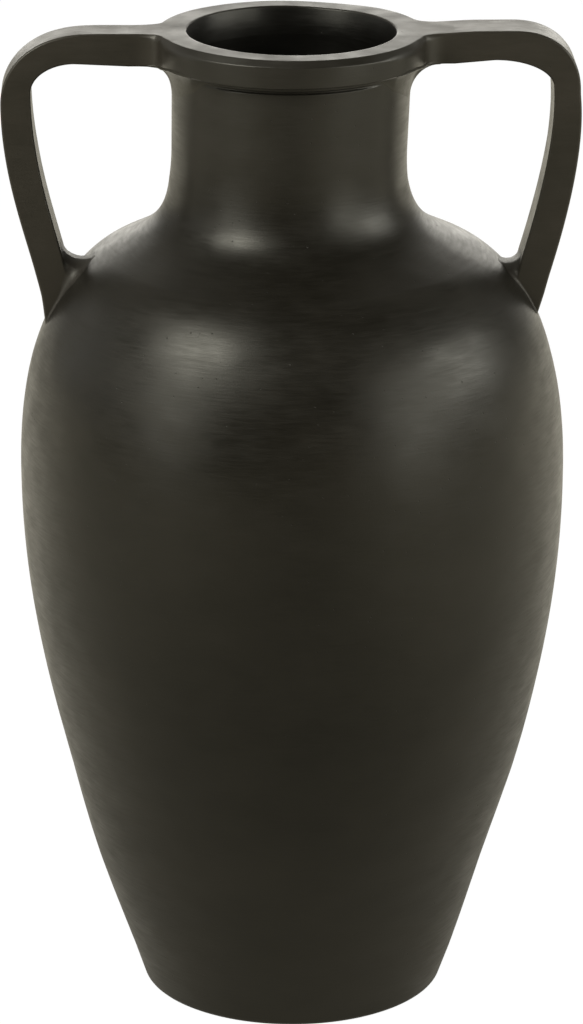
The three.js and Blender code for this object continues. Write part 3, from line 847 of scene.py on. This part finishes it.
# The clay's patterns: their sizes and depths, and where its tones change, in millimetres
CLOUD_SIZE = 70  # clouds of smoke from the firing
DENT_SIZE = 34  # hollows where the pebble pressed
SMUDGE_SIZE = 16
PORE_SPACING = 7
STROKE_WIDTH = 1.6
GRIT_SIZE = 0.9
DENT_DEPTH, PORE_DEPTH, STROKE_DEPTH, GRIT_DEPTH = 0.7, 0.12, 0.05, 0.02
ARM_TONES_FROM, ARM_TONES_FULL = 66, 84  # from the middle plane out along the arms
UPPER_TONES_FROM, UPPER_TONES_FULL = 500, 545  # heights
# Painted shade inside the mouth: a darker colour where the inside of the neck and mouth falls into shadow,
# between these heights and within this radius
MOUTH_SHADE_FROM, MOUTH_SHADE_FULL = 440, 470  # heights inside the mouth
MOUTH_SHADE_RADIUS = (61.6, 62.4)  # from the axis, full within the first
MOUTH_SHADE_COLOUR, PORE = "#0f0e0b", "#14120f"


def linear(colour):
    """An sRGB hex colour as linear values."""
    values = (int(colour[i : i + 2], 16) / 255 for i in (1, 3, 5))
    return (*(v / 12.92 if v <= 0.04045 else ((v + 0.055) / 1.055) ** 2.4 for v in values), 1)


def node(tree, kind, links=None, **settings):
    """Adds a node: settings are its properties, and links its sockets' values or sources."""
    made = tree.nodes.new(kind)
    for key, value in settings.items():
        setattr(made, key, value)
    for key, value in (links or {}).items():
        if isinstance(value, bpy.types.NodeSocket):
            tree.links.new(value, made.inputs[key])
        else:
            made.inputs[key].default_value = value
    return made


def stretched_noise(tree, place, size, ways, detail, roughness=0.55):
    """Noise with grains of so many millimetres, drawn out by so much along each axis."""
    scale = tuple(1 / (size * MM * way) for way in ways)
    mapped = node(tree, "ShaderNodeVectorMath", {0: place, 1: scale}, operation="MULTIPLY")
    return node(
        tree,
        "ShaderNodeTexNoise",
        {"Vector": mapped.outputs[0], "Scale": 1, "Detail": detail, "Roughness": roughness},
    ).outputs["Fac"]


def ranged(tree, value, low, high, out_low, out_high):
    """A value moved from one range to another, and held in it."""
    links = {"Value": value, "From Min": low, "From Max": high, "To Min": out_low, "To Max": out_high}
    return node(tree, "ShaderNodeMapRange", links).outputs["Result"]


def maths(tree, operation, a, b):
    """One arithmetic step on two values."""
    return node(tree, "ShaderNodeMath", {0: a, 1: b}, operation=operation).outputs[0]


def mixed_colour(tree, share, first, second):
    """A colour between two others; a mix node has its colours in sockets 6 and 7."""
    links = {0: share, 6: first, 7: second}
    return node(tree, "ShaderNodeMix", links, data_type="RGBA").outputs[2]


def empty_tree(owner):
    """The node tree of a material or a world, with nothing in it."""
    owner.use_nodes = True
    owner.node_tree.nodes.clear()
    return owner.node_tree


def burnished_clay(name, dark, light, rub, gloss, arms=None, upper=None):
    """Smoke-fired earthenware, nearly black with brown and olive clouds.

    Rubbing it before firing leaves a satin face with strokes, and the pores stay dull. `rub` is how far the
    strokes are drawn out along each axis, and `gloss` the least and most roughness. `arms` are the
    dark and light tones that the clay comes to where the arms leave the rim, and `upper` those that
    it comes to from the shoulder up. Either of them paints shade inside the mouth: its inside is coloured
    darker where it falls into shadow.
    """
    material = bpy.data.materials.new(name)
    tree = empty_tree(material)
    place = node(tree, "ShaderNodeTexCoord").outputs["Object"]
    clouds = stretched_noise(tree, place, CLOUD_SIZE, (1.3, 1.3, 0.8), 3)
    smudges = stretched_noise(tree, place, SMUDGE_SIZE, (1.4, 1.4, 0.8), 4)
    strokes = stretched_noise(tree, place, STROKE_WIDTH, rub, 3)
    grit = stretched_noise(tree, place, GRIT_SIZE, (1, 1, 1), 2)
    dents = stretched_noise(tree, place, DENT_SIZE, (1.2, 1.2, 0.9), 1)
    cloud_share = ranged(tree, clouds, 0.35, 0.68, 0, 1)
    stroke_share = ranged(tree, strokes, 0.3, 0.72, 0, 1)
    tone = maths(tree, "MULTIPLY", cloud_share, 0.6)
    tone = maths(tree, "ADD", tone, maths(tree, "MULTIPLY", stroke_share, 0.25))
    tone = maths(tree, "ADD", tone, maths(tree, "MULTIPLY", ranged(tree, smudges, 0.35, 0.7, 0, 1), 0.15))
    colour = mixed_colour(tree, tone, linear(dark), linear(light))
    parts = node(tree, "ShaderNodeSeparateXYZ", {0: place}).outputs
    if arms:
        out = maths(tree, "ABSOLUTE", parts["X"], 0)
        near_arm = ranged(tree, out, ARM_TONES_FROM * MM, ARM_TONES_FULL * MM, 0, 1)
        arm_colour = mixed_colour(tree, tone, linear(arms[0]), linear(arms[1]))
        colour = mixed_colour(tree, near_arm, colour, arm_colour)
    if upper:
        high = ranged(tree, parts["Z"], UPPER_TONES_FROM * MM, UPPER_TONES_FULL * MM, 0, 1)
        upper_colour = mixed_colour(tree, tone, linear(upper[0]), linear(upper[1]))
        colour = mixed_colour(tree, high, colour, upper_colour)
    # Painted shade: the inside of the neck and mouth is coloured darker where it falls into shadow
    if arms or upper:
        flat = node(tree, "ShaderNodeVectorMath", {0: place, 1: (1, 1, 0)}, operation="MULTIPLY")
        away = node(tree, "ShaderNodeVectorMath", {0: flat.outputs[0]}, operation="LENGTH")
        within = ranged(tree, away.outputs["Value"], MOUTH_SHADE_RADIUS[0] * MM, MOUTH_SHADE_RADIUS[1] * MM, 1, 0)
        mouth_shade_height = ranged(tree, parts["Z"], MOUTH_SHADE_FROM * MM, MOUTH_SHADE_FULL * MM, 0, 1)
        colour = mixed_colour(tree, maths(tree, "MULTIPLY", within, mouth_shade_height), colour, linear(MOUTH_SHADE_COLOUR))
    pores = node(
        tree,
        "ShaderNodeTexVoronoi",
        {"Vector": place, "Scale": 1 / (PORE_SPACING * MM), "Randomness": 1},
        feature="F1",
    ).outputs["Distance"]
    pore = ranged(tree, pores, 0.03, 0.07, 1, 0)
    colour = mixed_colour(tree, maths(tree, "MULTIPLY", pore, 0.5), colour, linear(PORE))
    dullness = ranged(tree, strokes, 0.3, 0.7, gloss[0], gloss[1])
    dullness = maths(tree, "ADD", dullness, maths(tree, "MULTIPLY", pore, 0.2))
    dullness = maths(tree, "ADD", dullness, ranged(tree, smudges, 0.35, 0.7, -0.03, 0.05))
    height = maths(tree, "MULTIPLY", strokes, STROKE_DEPTH)
    height = maths(tree, "ADD", height, maths(tree, "MULTIPLY", grit, GRIT_DEPTH))
    height = maths(tree, "ADD", height, maths(tree, "MULTIPLY", dents, DENT_DEPTH))
    height = maths(tree, "SUBTRACT", height, maths(tree, "MULTIPLY", pore, PORE_DEPTH))
    bump = node(tree, "ShaderNodeBump", {"Height": height, "Strength": 1, "Distance": 1 * MM})
    shader = node(
        tree,
        "ShaderNodeBsdfPrincipled",
        {
            "Base Color": colour,
            "Roughness": dullness,
            "Normal": bump.outputs[0],
            "IOR": 1.5,
            "Specular Tint": linear("#fffcea"),
        },
    )
    node(tree, "ShaderNodeOutputMaterial", {"Surface": shader.outputs[0]})
    return material


# The scene round the vase

CAMERA_PLACE = (-0.0851, -2.8671, 1.2785)
CAMERA_AIM = (0, 0, 0.2997)
CAMERA_LENS = 175.35

# Lamps: degrees from the front towards the right, degrees up, metres wide and high, and watts
LAMP_AIM, LAMP_DISTANCE = (0, 0, 0.35), 2.2
LAMPS = {
    "left softbox": (-55, 43, 1.0, 0.7, 23),
    "right softbox": (82, 21, 1.2, 0.8, 14),
    "left reflector": (-54, 18, 0.8, 1.3, 7.5),
    "left wing": (-100, 16, 2.2, 0.9, 2.8),
    "right reflector": (50, 13, 1.0, 1.1, 8),
    "right upper reflector": (56, 38, 0.9, 0.6, 0.8),
}

# The room, as strengths of its light. The window is low behind the vase and fades towards its edges.
WINDOW_WAY = (0.06, 0.998, 0)
WINDOW_LIGHT = 2.9
WINDOW_EDGE = (0.82, 0.97)  # cosine of the angle from its middle
WINDOW_TOP = (0.2, 0.45)  # sine of the angle up
CEILING_LIGHT = (0.14, 0.42)  # low and high up, behind the vase
ROOM_LIGHT = 0.05

# The floor
FLOOR_HALF = 12.0
FLOOR_LIGHT = 1.13
FLOOR_SEEN = 0.88  # how much of what the camera sees is that light, and the rest keeps the shadow


def camera():
    """The place and the lens that were fitted to the photograph."""
    lens = bpy.data.cameras.new("camera")
    lens.lens = CAMERA_LENS
    lens.sensor_width = 36
    made = added("camera", lens)
    made.location = CAMERA_PLACE
    way = Vector(CAMERA_AIM) - Vector(CAMERA_PLACE)
    made.rotation_euler = way.to_track_quat("-Z", "Y").to_euler()
    bpy.context.scene.camera = made


def softbox(name, azimuth, elevation, width, height, power):
    """A soft lamp that faces the vase."""
    lamp = bpy.data.lights.new(name, "AREA")
    lamp.shape = "RECTANGLE"
    lamp.size, lamp.size_y = width, height
    lamp.energy = power
    made = added(name, lamp)
    turn, rise = math.radians(azimuth), math.radians(elevation)
    way = Vector((math.sin(turn) * math.cos(rise), -math.cos(turn) * math.cos(rise), math.sin(rise)))
    made.location = Vector(LAMP_AIM) + way * LAMP_DISTANCE
    made.rotation_euler = (-way).to_track_quat("-Z", "Y").to_euler()


def world():
    """A white room to the eye, whose light on the vase comes mostly from behind it."""
    made = bpy.data.worlds.new("studio")
    bpy.context.scene.world = made
    tree = empty_tree(made)
    way = node(tree, "ShaderNodeTexCoord").outputs["Generated"]
    parts = node(tree, "ShaderNodeSeparateXYZ", {0: way}).outputs
    facing = node(tree, "ShaderNodeVectorMath", {0: way, 1: WINDOW_WAY}, operation="DOT_PRODUCT")
    behind = ranged(tree, facing.outputs["Value"], *WINDOW_EDGE, 0, 1)
    low = ranged(tree, parts["Z"], *WINDOW_TOP, 1, 0.0)
    window = maths(tree, "MULTIPLY", maths(tree, "MULTIPLY", behind, low), WINDOW_LIGHT)
    high = ranged(tree, parts["Z"], 0.3, 0.7, *CEILING_LIGHT)
    ceiling = maths(tree, "MULTIPLY", high, ranged(tree, parts["Y"], 0.1, 0.6, 0, 1))
    level = maths(tree, "ADD", maths(tree, "ADD", window, ceiling), ROOM_LIGHT)
    path = node(tree, "ShaderNodeLightPath").outputs
    shown = maths(tree, "MAXIMUM", path["Is Camera Ray"], path["Is Transmission Ray"])
    unseen = maths(tree, "SUBTRACT", 1, shown)
    strength = maths(tree, "ADD", shown, maths(tree, "MULTIPLY", unseen, level))
    tint = mixed_colour(tree, shown, linear("#fffcf4"), (1, 1, 1, 1))
    light = node(tree, "ShaderNodeBackground", {"Color": tint, "Strength": strength})
    node(tree, "ShaderNodeOutputWorld", {"Surface": light.outputs[0]})


def floor_paper():
    """Matt grey paper that is white to the eye and in reflections of its far and outer parts."""
    material = bpy.data.materials.new("white floor")
    tree = empty_tree(material)
    place = node(tree, "ShaderNodeTexCoord").outputs["Object"]
    parts = node(tree, "ShaderNodeSeparateXYZ", {0: place}).outputs
    far = ranged(tree, parts["Y"], -0.4, 0.8, 0, 0.9)
    far = maths(tree, "MULTIPLY", far, ranged(tree, parts["X"], -1.6, -0.5, 0.75, 1))
    aside = ranged(tree, parts["X"], 0.1, 0.8, 0, 0.36)
    aside = maths(tree, "ADD", aside, ranged(tree, parts["X"], -0.7, -0.1, 0.24, 0))
    path = node(tree, "ShaderNodeLightPath").outputs
    seen = maths(tree, "MULTIPLY", path["Is Camera Ray"], FLOOR_SEEN)
    mirrored = maths(tree, "MULTIPLY", path["Is Glossy Ray"], maths(tree, "MAXIMUM", far, aside))
    share = maths(tree, "MAXIMUM", seen, mirrored)
    matt = node(tree, "ShaderNodeBsdfDiffuse", {"Color": linear("#a6a49c")})
    tint = mixed_colour(tree, path["Is Camera Ray"], linear("#fff9e6"), (1, 1, 1, 1))
    white = node(tree, "ShaderNodeEmission", {"Color": tint, "Strength": FLOOR_LIGHT})
    surface = node(tree, "ShaderNodeMixShader", {0: share, 1: matt.outputs[0], 2: white.outputs[0]})
    node(tree, "ShaderNodeOutputMaterial", {"Surface": surface.outputs[0]})
    return material


def floor():
    """A wide pale floor, which keeps the vase's soft shadow."""
    mesh = bpy.data.meshes.new("floor")
    corners = [(x * FLOOR_HALF, y * FLOOR_HALF, 0) for x, y in ((-1, -1), (1, -1), (1, 1), (-1, 1))]
    mesh.from_pydata(corners, [], [(0, 1, 2, 3)])
    mesh.materials.append(floor_paper())
    added("floor", mesh)


def studio():
    """Everything round the vase."""
    camera()
    world()
    floor()
    for name, lamp in LAMPS.items():
        softbox(name, *lamp)
    bpy.context.scene.view_settings.view_transform = "Standard"


# The vase

def vase():
    """All the pieces, each in its clay.

    The outside is satin, with strokes round the body and from left to right on the straps. The
    luting is a little duller and hardly has strokes, and its colours are lighter than the clay beside it as
    painted light: they brighten the corners under the rim and round the limbs' feet, which fall into shade.
    The inside is dull and nearly black.
    """
    round_rub = (9, 9, 0.8)
    arm_tones, rim_tones = ("#312e26", "#413c33"), ("#23211a", "#33302a")
    outside = burnished_clay(
        "burnished black clay", "#17150f", "#26231c", round_rub, (0.33, 0.42), upper=rim_tones
    )
    strap = burnished_clay("burnished black clay, straps", *arm_tones, (8, 1, 1), (0.33, 0.42))
    rim = burnished_clay(
        "burnished black clay, rim", *rim_tones, round_rub, (0.33, 0.42), arms=arm_tones
    )
    # Painted light: the luting's colours are lighter than the clay around it, to brighten the shaded
    # corners under the rim and round the limbs' feet
    luting = burnished_clay("burnished black clay, luted, with painted light", "#2c2a21", "#3d392f", (2, 2, 1), (0.36, 0.46))
    pressed = burnished_clay("black clay, pressed on, with painted light", "#2d2a24", "#3d3932", (1, 1, 1), (0.4, 0.52))
    inside = burnished_clay("black clay, unburnished", "#0c0b08", "#171510", round_rub, (0.55, 0.7))
    slots = {
        "clay_outside": [
            base_piece(outside),
            wall_piece("lower_wall", WALL_FOOT, BELLY_SEAM, outside),
            wall_piece("upper_wall", BELLY_SEAM, NECK_SEAM, outside),
            neck_piece(outside),
            rim_slab(rim),
            *(handle("handle_" + side, shape, strap) for side, shape in STRAPS.items()),
        ],
        "clay_luting": [
            *(arm_cove("arm_luting_" + side, shape, luting) for side, shape in STRAPS.items()),
            *(limb_luting("limb_luting_" + side, shape, pressed) for side, shape in STRAPS.items()),
        ],
        "clay_inside": [
            floor_coil(inside),
            seam_coil("belly_seam_coil", BELLY_SEAM, inside),
            seam_coil("neck_seam_coil", NECK_SEAM, inside),
        ],
    }


studio()
vase()
